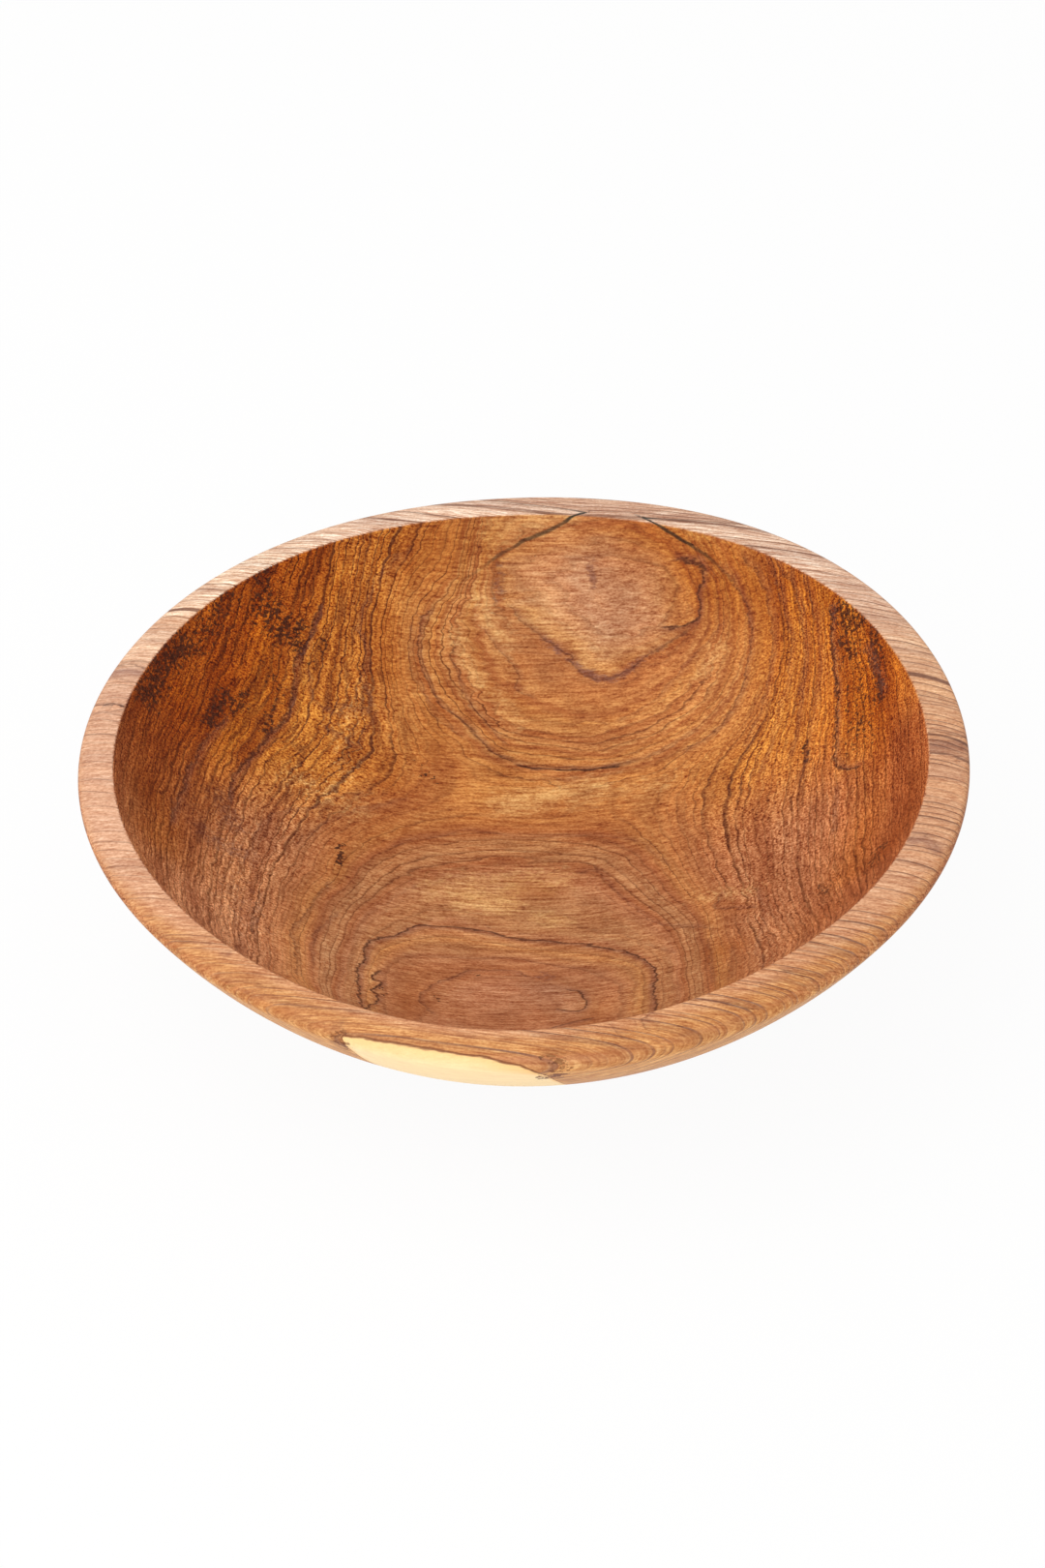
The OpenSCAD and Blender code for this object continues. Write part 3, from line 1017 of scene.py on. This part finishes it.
def ring_lines(n, colour, across, run, depth, side, outside):
    """Each ring darkens towards its end, where some have a thin dark line."""
    x, y = across
    close = n.times(n.most(n.math("SUBTRACT", depth, CLOSE_FROM), 0), CLOSER)
    size, strength = RING_UNEVEN
    uneven = n.times(n.band_noise(depth, size), strength)
    share, luck = n.bands(n.sum(n.math("DIVIDE", depth, RING_W), close, uneven))
    late = n.times(n.ease(share, *LATE_RISE), n.ease(share, *LATE_END))
    thin = n.times(n.ease(share, *THIN_RISE), n.ease(share, *THIN_END))
    patchy = n.ease(n.noise(run, "ring_gaps"), *RING_PATCHES)
    crisp = n.ease(n.mark("steep"), *CRISP)
    colour = n.mix(n.times(late, luck, LATE_SHARE), colour, UMBER)
    eye = n.times(n.ease(depth, *EYE_INK), n.rest(outside))
    left, right = n.ease(x, *LEFT_INK), n.ease(x, *RIGHT_INK)
    back = n.zone(x, y, BACK_INK_X, BACK_INK)
    ink = n.sum(n.times(side, RING_INK), RING_INK, eye, left, right, back)
    ink = n.times(n.ease(luck, *RING_LUCK), ink)
    return n.mix(n.times(thin, patchy, ink, crisp), colour, DARK_LINE), late


# A drawn line: half its width by its strength, its edge in half widths, and how its strength
# tells. Strong lines have fewer gaps.
LINE_WIDE = (0.3, 0.2)
LINE_EDGE = (1.3, 0.3)
LINE_POWER = 1.4
LINE_WHOLE = (0.6, 1, 0, 0.85)
# The soft shade beside it, to the left and to the right, and its share
SHADE_LEFT = (3.2, 0.3)
SHADE_RIGHT = (-1, 0.3)
SHADE_SHARE = 0.48


def drawn_line(n, colour, name, shift, broken):
    """A thin line, wider and darker where it is stronger, moved by shift and in places broken,
    with a soft shade that is wider on its left side."""
    ink = n.mark(name + "_ink")
    off = n.sum(n.mark(name), shift)
    whole = n.most(broken, n.ease(ink, *LINE_WHOLE))
    away = n.math("DIVIDE", n.math("ABSOLUTE", off), n.line(ink, *LINE_WIDE))
    share = n.times(n.ease(away, *LINE_EDGE), n.math("POWER", ink, LINE_POWER), whole)
    shade = n.times(n.ease(off, *SHADE_LEFT), n.ease(off, *SHADE_RIGHT), ink, SHADE_SHARE)
    return n.mix(share, n.mix(shade, colour, MAUVE), n.mix(ink, UMBER, COFFEE))


# The lip's grain: its slope to X, how far its lines arch and where, how far they sway, and
# their spacing and its unevenness
LIP_SLOPE = 0.15
LIP_ARCH = 0.4
ARCH_DOWN = 0.14
ARCH_X = (-60, 60, 0.35, 1.5)
LIP_SWAY = (-3, 5)
LIP_JAG = 0.3
LIP_SPACING = 2.8
LIP_UNEVEN = (7, 2.4)
# Places on the lip, along X or Y: its front, its back, its right, and the parts made paler by
# painted sheen
LIP_FRONT_Y = (-45, -120)
LIP_BACK_Y = (135, 0)
LIP_RIGHT_X = (80, 145, 0, 0.8)
LIP_RIGHT_Y = (95, 20)
SHEEN_LEFT = ((-55, -105), (20, 62))
SHEEN_RIGHT = ((118, 138, 0, 0.8), (2, 24))
SHEEN_RIGHT_BACK = (75, 50)
# Broad bands along the grain: their size, detail and turn
LIP_BROAD = (9, 2)
BROAD_TURN = (-0.15, 0.2, 0, 0.35)
# The outer edge's own tones: where they begin, which is sooner in front, their share, and
# the noise that turns one into the other
EDGE_DOWN = (-2, 4)
EDGE_FRONT = 5
EDGE_SHARE = (0.4, 0.5)
SLANT_TURN = (-0.25, 0.25)
# Its late wood and thin lines, as the rings have them, and where they are stronger
LIP_LATE = (0.3, 1)
LIP_LATE_END = (1, 0.97)
LIP_LATE_SHARE = (0.26, 0.06)
LIP_THIN = (0.78, 0.89)
LIP_LUCK = (0.1, 0.9, 0.2, 1.1)
LIP_PATCHES = (-0.15, 0.1, 0.45, 1)
LINES_RIGHT = (-150, 150, 0.55, 1.8)
LINES_BACK = (30, 90, 0, 1.3)
# Strength of its fibres, and what the front and the back add to it
LIP_LIVELY = 0.9
LIVELY_FRONT = 1.3
LIVELY_BACK = (40, 100, 0, 2.2)
# Edges of the heartwood and of the darker bands, the share of the one and the other's jags
HEART_EDGE = (0.3, -0.3)
HEART_SHARE = 0.9
BAND_EDGE = (0.2, 0.9)
BAND_JAG = 0.6


def lip_colour(n, place, across, jag):
    """The pale lip, pale partly from painted sheen: fine lines along the grain, darker bands, more
    orange in front.
    """
    x, y = across
    down = n.mark("down")
    front = n.ease(y, *LIP_FRONT_Y)
    middle = n.sum(n.times(down, ARCH_DOWN), n.ease(x, *ARCH_X))
    arch = n.times(middle, middle, LIP_ARCH)
    sway = n.times(n.noise(place, "lip_sway"), n.line(front, *LIP_SWAY))
    grain = n.sum(n.line(x, LIP_SLOPE, y), arch, sway, n.times(jag, LIP_JAG))
    size, strength = LIP_UNEVEN
    uneven = n.times(n.band_noise(grain, size), strength)
    share, luck = n.bands(n.sum(n.math("DIVIDE", grain, LIP_SPACING), uneven))

    # Paler towards the back: partly the wood, partly painted sheen
    tone = n.mix(n.ease(y, *LIP_BACK_Y), LIP_BACK, LIP_SIDE)
    tone = n.mix(n.zone(x, y, LIP_RIGHT_X, LIP_RIGHT_Y), tone, LIP_RIGHT)
    tone = n.mix(front, tone, LIP_FRONT)
    # Painted sheen: the lip's back at the left and right made paler and greyer, as glossy light
    # makes it
    sheen_right = n.times(n.zone(x, y, *SHEEN_RIGHT), n.ease(y, *SHEEN_RIGHT_BACK))
    tone = tinted(n, tone, n.most(n.zone(x, y, *SHEEN_LEFT), sheen_right), LIP_SHEEN)
    broad = n.ease(n.band_noise(grain, *LIP_BROAD), *BROAD_TURN)
    tone = n.mix(broad, tone, n.mix(front, LIP_DIM, HONEY))
    edge = n.ease(n.sum(down, n.times(front, EDGE_FRONT), jag), *EDGE_DOWN)
    slant = n.add("CombineXYZ", x, grain, down).outputs[0]
    edge_tone = n.mix(n.ease(n.noise(slant, "lip_slant"), *SLANT_TURN), HONEY, AMBER)
    tone = n.mix(n.times(edge, n.line(front, *EDGE_SHARE)), tone, edge_tone)

    late = n.times(n.ease(share, *LIP_LATE), n.ease(share, *LIP_LATE_END))
    thin = n.times(n.ease(share, *LIP_THIN), n.ease(share, *THIN_END))
    patchy = n.ease(n.noise(place, "lip_gaps"), *LIP_PATCHES)
    strong = n.most(n.ease(x, *LINES_RIGHT), n.ease(y, *LINES_BACK))
    tone = n.mix(n.times(late, strong, n.line(luck, *LIP_LATE_SHARE)), tone, LIP_LINE)
    tone = n.mix(n.times(thin, patchy, strong, n.ease(luck, *LIP_LUCK)), tone, LIP_LINE)
    lively = n.sum(n.times(front, LIVELY_FRONT), n.ease(y, *LIVELY_BACK), LIP_LIVELY)
    tone = deepened(n, tone, n.line(n.noise(slant, "lip_fibre"), lively, 1))
    heart = n.ease(n.sum(n.mark("heart"), n.times(jag, LIP_JAG)), *HEART_EDGE)
    tone = tinted(n, tone, n.times(heart, HEART_SHARE), LIP_HEART)
    band = n.ease(n.sum(n.mark("band"), n.times(jag, BAND_JAG)), *BAND_EDGE)
    return tinted(n, tone, band, LIP_BAND)


# End grain: how far the surface faces along X, and the ring depths between eyes and flanks
END_FACING = (0.4, 0.86)
SIDE_DEPTH = (178, 168)
# Waves of the rings: the wobble's strength by flank, the kinks' by flank, yellow stroke and Y,
# and the strength of the fine jags, also by yellow stroke, and hairs
WOBBLE = (1.6, 0.4)
KINK_WEIGHTS = (0.8, 4)
KINK_BACK = (40, 60, 0.6, 1.3)
JAG_WILD = 2
JAG = 0.35
HAIR = 0.18


def waved_depth(n, place, y, side, jag, hair):
    """Depth of the ring at each place, with the waves of real rings."""
    wild = n.mark("yellow")
    wobble = n.times(n.noise(place, "wobble"), n.line(side, *WOBBLE))
    kinks = n.sum(n.weighted((side, wild), KINK_WEIGHTS), n.ease(y, *KINK_BACK))
    kink = n.times(n.noise(place, "kink"), kinks)
    small = n.sum(n.times(jag, n.sum(n.times(wild, JAG_WILD), JAG)), n.times(hair, HAIR))
    return n.sum(n.mark("ring"), wobble, kink, small)


# Redder, yellower and purplish places: what noise adds to the strokes, the turn and the share
RED_SHARE = 0.6
YELLOW_WEIGHTS = (1.2, 0.6)
YELLOW_TURN = (0.2, 1.1)
YELLOW_SHARE = 0.65
PURPLE_WEIGHTS = (0.75, 1.6)
PURPLE_TURN = (0.2, 0.9)
PURPLE_SHARE = 0.75


def stroked(n, colour, coarse, thread):
    """The colour with the redder, yellower and purplish places in the hollow."""
    colour = n.mix(n.times(n.mark("red"), RED_SHARE), colour, BRICK)
    yellow = n.sum(n.mark("yellow"), n.weighted((coarse, thread), YELLOW_WEIGHTS))
    colour = n.mix(n.times(n.ease(yellow, *YELLOW_TURN), YELLOW_SHARE), colour, STRAW)
    purple = n.ease(n.weighted((n.mark("purple"), coarse), PURPLE_WEIGHTS), *PURPLE_TURN)
    return n.mix(n.times(purple, PURPLE_SHARE), colour, MAUVE)


# Where end grain and the walls' own tints lie, along X, Y or depth. The left end of the grain
# begins at a depth that leans with Y.
LEFT_X = (-20, -60)
LEFT_DEPTH = (151, 136)
LEFT_LEAN = -0.12
LEFT_TINT_Y = (-15, 40)
LEFT_END_Y = (-70, -10)
LEFT_FRONT_ZONE = ((-40, -80), (-20, -60))
RIGHT_END_Y = (110, 40, 0.2, 1)
PANEL_ZONE = ((60, 90), (14, 22))
PANEL_DEPTH = (149, 146.5)


def walls_tinted(n, colour, across, depth, ends, hollow):
    """The colour with the tints of end grain, of the left wall's front and of the strokes."""
    x, y = across
    inner_end, beyond, leftward = ends
    right = n.times(inner_end, n.rest(leftward), n.ease(y, *RIGHT_END_Y))
    colour = tinted(n, colour, right, END_RIGHT)
    panel = n.times(n.zone(x, y, *PANEL_ZONE), n.ease(depth, *PANEL_DEPTH), hollow)
    colour = tinted(n, colour, panel, END_PANEL)
    left = n.times(n.most(inner_end, beyond), leftward, n.ease(y, *LEFT_END_Y))
    left_tint = n.mix(n.ease(y, *LEFT_TINT_Y), END_LEFT_FRONT, END_LEFT_BACK)
    colour = tinted(n, colour, left, left_tint)
    colour = tinted(n, colour, n.times(n.zone(x, y, *LEFT_FRONT_ZONE), hollow), LEFT_FRONT)
    # The strokes' tints, one of them painted sheen, paler and greyer
    for name, tint in STROKE_TINTS.items():
        colour = tinted(n, colour, n.mark(name), tint)
    return colour


# Stains: their soft share and its turn, and their dark specks, which noise makes from strokes
STAIN_SHARE = 0.5
STAIN_TURN = (-0.1, 0.15)
STAIN_WEIGHTS = (0.7, 0.9, 1.3, 2.4)
SPOT_TURN = (0.54, 0.6)
SPOT_SHARE = (0.02, 0.2, 0, 0.92)


def stained(n, colour, speck, thread, coarse):
    """The colour with its dark porous stains, and the share of their specks."""
    mark = n.mark("stain")
    soft = n.times(mark, n.ease(coarse, *STAIN_TURN), STAIN_SHARE)
    colour = tinted(n, colour, soft, STAINED)
    spots = n.ease(n.weighted((mark, speck, thread, coarse), STAIN_WEIGHTS), *SPOT_TURN)
    spot = n.times(spots, n.ease(mark, *SPOT_SHARE))
    return n.mix(spot, colour, COFFEE), spot


# Outside: its amber share, where the lip's tones end on the lip and down the front, and where
# painted bounce light from the floor begins below the lip
AMBER_SHARE = 0.3
BRIM_LIP = (0.05, 0.9)
BRIM_DOWN = (5, 1)
BELOW_DOWN = (46, 22)
BELOW_Y = (-50, -110)
BELOW_SHARE = 0.9
FLOOR_BOUNCE_DOWN = (2, 9)


def brimmed(n, colour, place, across, jag, lip, outside):
    """The colour with the lip's own on the lip and below it in front, where painted bounce light
    from the floor also lightens the wall.
    """
    down = n.mark("down")
    colour = n.mix(n.times(outside, AMBER_SHARE), colour, AMBER)
    brim = n.times(n.ease(lip, *BRIM_LIP), n.ease(down, *BRIM_DOWN))
    front = n.times(n.ease(down, *BELOW_DOWN), n.ease(across[1], *BELOW_Y))
    below = n.times(outside, front, BELOW_SHARE)
    colour = n.mix(n.most(brim, below), colour, lip_colour(n, place, across, jag))
    # Painted bounce light: the front wall just below the lip made paler, as light from the white
    # floor would
    return tinted(n, colour, n.times(below, n.ease(down, *FLOOR_BOUNCE_DOWN)), FLOOR_BOUNCE_TINT)


# Sapwood: how jagged its edge is, the dark border's width and share, and its own two steps
SAP_JAG = 0.6
SAP_BORDER = (0.8, 0.2)
SAP_BORDER_SHARE = 0.8
SAP_WITHIN = (-0.2, 0.35)
SAP_PALER = (0.3, 6)
# The line round the heartwood at the back: how jagged it is, and its width
HEART_JAG = 0.22
HEART_WIDE = (0.65, 0.2)


def heart_and_sap(n, colour, shift, tip_spot):
    """The colour with the sapwood in front and the heart's line at the back, and the share of
    sapwood."""
    sap = n.sum(n.mark("sap"), n.times(shift, SAP_JAG))
    border = n.ease(n.math("ABSOLUTE", sap), *SAP_BORDER)
    within = n.ease(sap, *SAP_WITHIN)
    colour = n.mix(within, colour, n.mix(n.ease(sap, *SAP_PALER), SUNNY, CREAM))
    colour = n.mix(n.times(border, SAP_BORDER_SHARE), colour, UMBER)
    colour = n.mix(tip_spot, colour, UMBER)
    off = n.math("ABSOLUTE", n.sum(n.mark("heart"), n.times(shift, HEART_JAG)))
    line = n.times(n.ease(off, *HEART_WIDE), n.mark("heart_ink"))
    return n.mix(line, colour, BLACKISH), within


# Bold marks: their Y and strength
BOLD_Y = (-35, -70)
BOLD = 0.9
# How the drawn lines are moved, and where they are broken
SHIFT_WEIGHTS = (3, 1.3, 2.2)
GAPS = (-0.2, 0.1, 0.35, 1)
# Rough end grain: its share on the flanks, and its share beside the true ends
ROUGH_SIDE = 0.75
ROUGH_BESIDE = 0.9
# Fine marks: how sapwood calms them, and what each place does to their strength
CALM = (-0.8, 1)
PLAIN_END = (-0.5, 1)
FIBRE_HOLLOW = (0.9, 1.1)
THREAD_OUTSIDE = 0.8
THREAD_SIDE = (1.5, 0.3)
STREAK_SIDE = (-0.6, 0.75)
SPECK = 0.4
SPECK_WEIGHTS = (2.9, 0.9, 0.5)
PORE_END = (0.6, 0.2)
# Roughness, height and shine of the surface, by fibre and by place. Depth of the bump in mm.
ROUGH = 0.5
ROUGH_WEIGHTS = (0.14, -0.06, -0.05)
HEIGHT_WEIGHTS = (0.5, -0.8, -0.12, 0.3)
SHINE = 0.22
SHINE_WEIGHTS = (-0.12, -0.14)
BUMP_STRENGTH = 0.25
BUMP_DEPTH = 0.12


def wood_nodes(tree):
    """Oiled solid wood: rings of growth, fibres and pores along X, darker end grain."""
    n = Nodes(tree)
    place = n.shrink(n.add("TexCoord").outputs["Object"], (MM, MM, MM))
    x, y = across = n.add("SeparateXYZ", place).outputs[:2]
    facing = n.add("SeparateXYZ", n.add("TexCoord").outputs["Normal"]).outputs[0]
    lip, outside = n.mark("lip"), n.mark("outside")
    hollow = n.math("SUBTRACT", n.rest(lip), outside)
    side = n.ease(n.mark("ring"), *SIDE_DEPTH)
    jag, hair = n.noise(place, "jag"), n.noise(place, "hair")
    depth = waved_depth(n, place, y, side, jag, hair)
    along_x, along_y = n.math("DIVIDE", x, RUN_LENGTH), n.math("DIVIDE", y, RUN_LENGTH)
    run = n.add("CombineXYZ", depth, along_x, along_y).outputs[0]

    leftward = n.ease(x, *LEFT_X)
    inner_end = n.times(n.ease(n.math("ABSOLUTE", facing), *END_FACING), n.rest(lip))
    leaning = n.sum(depth, n.times(y, LEFT_LEAN))
    beyond = n.times(leftward, hollow, n.ease(leaning, *LEFT_DEPTH))
    beside = n.times(n.most(beyond, n.times(side, hollow, ROUGH_SIDE)), ROUGH_BESIDE)
    rough_end = n.most(inner_end, beside)

    # Fine detail: fibres along X, threads along the rings, and specks
    fibre, speck, coarse, streak = (
        n.noise(place, name) for name in ("fibre", "speck", "coarse", "streak"))
    thread = n.noise(run, "thread")
    bold = n.times(n.noise(place, "bold"), n.ease(y, *BOLD_Y))

    # Colour, from the broad tones to the places and the drawn lines
    colour = ring_tones(n, across, run, depth, side)
    colour, late = ring_lines(n, colour, across, run, depth, side, outside)
    colour = stroked(n, colour, coarse, thread)
    colour = walls_tinted(n, colour, across, depth, (inner_end, beyond, leftward), hollow)
    colour, spot = stained(n, colour, speck, thread, coarse)
    colour = brimmed(n, colour, place, across, jag, lip, outside)
    shift = n.weighted((jag, hair, n.noise(place, "shift")), SHIFT_WEIGHTS)
    broken = n.ease(n.noise(place, "gaps"), *GAPS)
    for name in ("line", "line_2"):
        colour = drawn_line(n, colour, name, shift, broken)
    colour, within = heart_and_sap(n, colour, shift, n.times(spot, outside))

    # Fine detail on top of all
    calm = n.line(within, *CALM)
    specks = n.sum(n.weighted((rough_end, hollow, lip), SPECK_WEIGHTS), SPECK)
    threads = n.sum(hollow, n.times(outside, THREAD_OUTSIDE))
    detail = n.sum(n.times(fibre, n.line(rough_end, *PLAIN_END), n.line(hollow, *FIBRE_HOLLOW)),
                   n.times(thread, threads, n.line(side, *THREAD_SIDE)),
                   n.times(bold, hollow, BOLD),
                   n.times(streak, n.rest(lip), n.line(side, *STREAK_SIDE)),
                   n.times(speck, specks))
    colour = deepened(n, colour, n.line(detail, calm, 1))
    pore = n.add("TexVoronoi", n.shrink(place, PORES), voronoi_dimensions="3D")
    pores = n.ease(n.fill(pore, {"Scale": 1}).outputs["Distance"], *PORE_EDGE)
    open_pore = n.times(pores, calm, n.line(rough_end, *PORE_END))
    colour = n.mix(open_pore, colour, UMBER)

    bump = n.fill(n.add("Bump"), {
        "Strength": BUMP_STRENGTH,
        "Distance": BUMP_DEPTH * MM,
        "Height": n.weighted((fibre, open_pore, late, speck), HEIGHT_WEIGHTS),
    })
    shader = n.fill(n.add("BsdfPrincipled"), {
        "Base Color": colour,
        "Roughness": n.sum(n.weighted((fibre, lip, outside), ROUGH_WEIGHTS), ROUGH),
        "Normal": bump.outputs[0],
        "Specular IOR Level": n.sum(n.weighted((hollow, outside), SHINE_WEIGHTS), SHINE),
    })
    n.add("OutputMaterial", shader.outputs[0])


def made_material(name, fill):
    """A new material whose nodes are made by fill."""
    material = bpy.data.materials.new(name)
    material.use_nodes = True
    fill(material.node_tree)
    return material


def placed(name, data):
    """A new object of that mesh, lamp or camera, in the scene."""
    thing = bpy.data.objects.new(name, data)
    bpy.context.scene.collection.objects.link(thing)
    return thing


# Pieces

def make_bowl():
    """The bowl, one closed mesh that stands for its CAD solid."""
    grid, zones = bowl_grid()
    points = np.concatenate([grid.reshape(-1, 3), [[0, 0, FLOOR_T], [0, 0, 0]]])
    zone = np.concatenate([np.repeat(zones, SIDES), [-1, 1]])
    mesh = bpy.data.meshes.new("bowl_wood")
    mesh.from_pydata(points * MM, [], bowl_faces(len(grid)))
    for name, values in wood_marks(points, grid, zone).items():
        layer = mesh.attributes.new(name, "FLOAT", "POINT")
        layer.data.foreach_set("value", values.astype(np.float32))
    mesh.shade_smooth()
    mesh.materials.append(made_material("oiled_wood", wood_nodes))
    bowl = placed("bowl_wood", mesh)
    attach(bowl, "root")
    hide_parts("bowl")


# Stage, light and camera, in metres but for the camera's place

FLOOR_SIDE = 8
FLOOR_COLOUR = (0.86, 0.85, 0.83, 1)
# How much of the floor shows as plain white, and how strongly the world lights the bowl
FLOOR_WHITE = 0.94
WORLD_LIGHT = 0.72
# Place, size and power of each lamp
LAMPS = {
    "key": ((-0.75, -0.15, 1.3), 1.3, 9),
    "front": ((-0.35, -1.5, 0.75), 1.2, 9),
}
# The camera sees nothing nearer or farther than this
CLIP = (0.01, 50)


def seen_directly(n):
    """1 for camera, glossy and transmission rays."""
    path = n.add("LightPath").outputs
    return n.most(path["Is Camera Ray"], path["Is Glossy Ray"], path["Is Transmission Ray"])


def floor_nodes(tree):
    """Plain pale floor that renders white and keeps a faint shadow."""
    n = Nodes(tree)
    plain = n.add("BsdfDiffuse", FLOOR_COLOUR).outputs[0]
    glow = n.add("Emission", WHITE, 1).outputs[0]
    both = n.add("MixShader", n.times(seen_directly(n), FLOOR_WHITE), plain, glow)
    n.add("OutputMaterial", both.outputs[0])


def make_floor():
    half = FLOOR_SIDE / 2
    mesh = bpy.data.meshes.new("floor")
    corners = [(-half, -half, 0), (half, -half, 0), (half, half, 0), (-half, half, 0)]
    mesh.from_pydata(corners, [], [(0, 1, 2, 3)])
    mesh.materials.append(made_material("pale_floor", floor_nodes))
    floor = placed("floor", mesh)


def make_world():
    """Even pale surroundings: white where they are seen, softer as light."""
    world = bpy.data.worlds.new("studio")
    bpy.context.scene.world = world
    world.use_nodes = True
    n = Nodes(world.node_tree)
    strength = n.line(seen_directly(n), 1 - WORLD_LIGHT, WORLD_LIGHT)
    sky = n.add("Background", WHITE, strength)
    n.add("OutputWorld", sky.outputs[0])


def make_lamp(name, place, size, power):
    """A soft square lamp that looks at the bowl."""
    lamp = bpy.data.lights.new(name, "AREA")
    lamp.size = size
    lamp.energy = power
    holder = placed(name, lamp)
    holder.location = place
    aim = Vector((0, 0, BOWL_H * MM)) - Vector(place)
    holder.rotation_euler = aim.to_track_quat("-Z", "Y").to_euler()


def make_camera():
    """The camera, at the photograph's angle."""
    tilt = math.radians(CAMERA_TILT)
    camera = bpy.data.cameras.new("camera")
    camera.sensor_fit = "VERTICAL"
    camera.sensor_height = FRAME_TALL
    camera.lens = LENS
    camera.clip_start, camera.clip_end = CLIP
    holder = placed("camera", camera)
    back = Vector((0, -math.cos(tilt), math.sin(tilt))) * CAMERA_AWAY
    holder.location = (Vector(AIM) + back) * MM
    holder.rotation_euler = (math.pi / 2 - tilt, 0, 0)
    bpy.context.scene.camera = holder


make_bowl()
make_floor()
make_world()
for lamp_name, lamp_values in LAMPS.items():
    make_lamp(lamp_name, *lamp_values)
make_camera()
bpy.context.scene.view_settings.view_transform = "Standard"
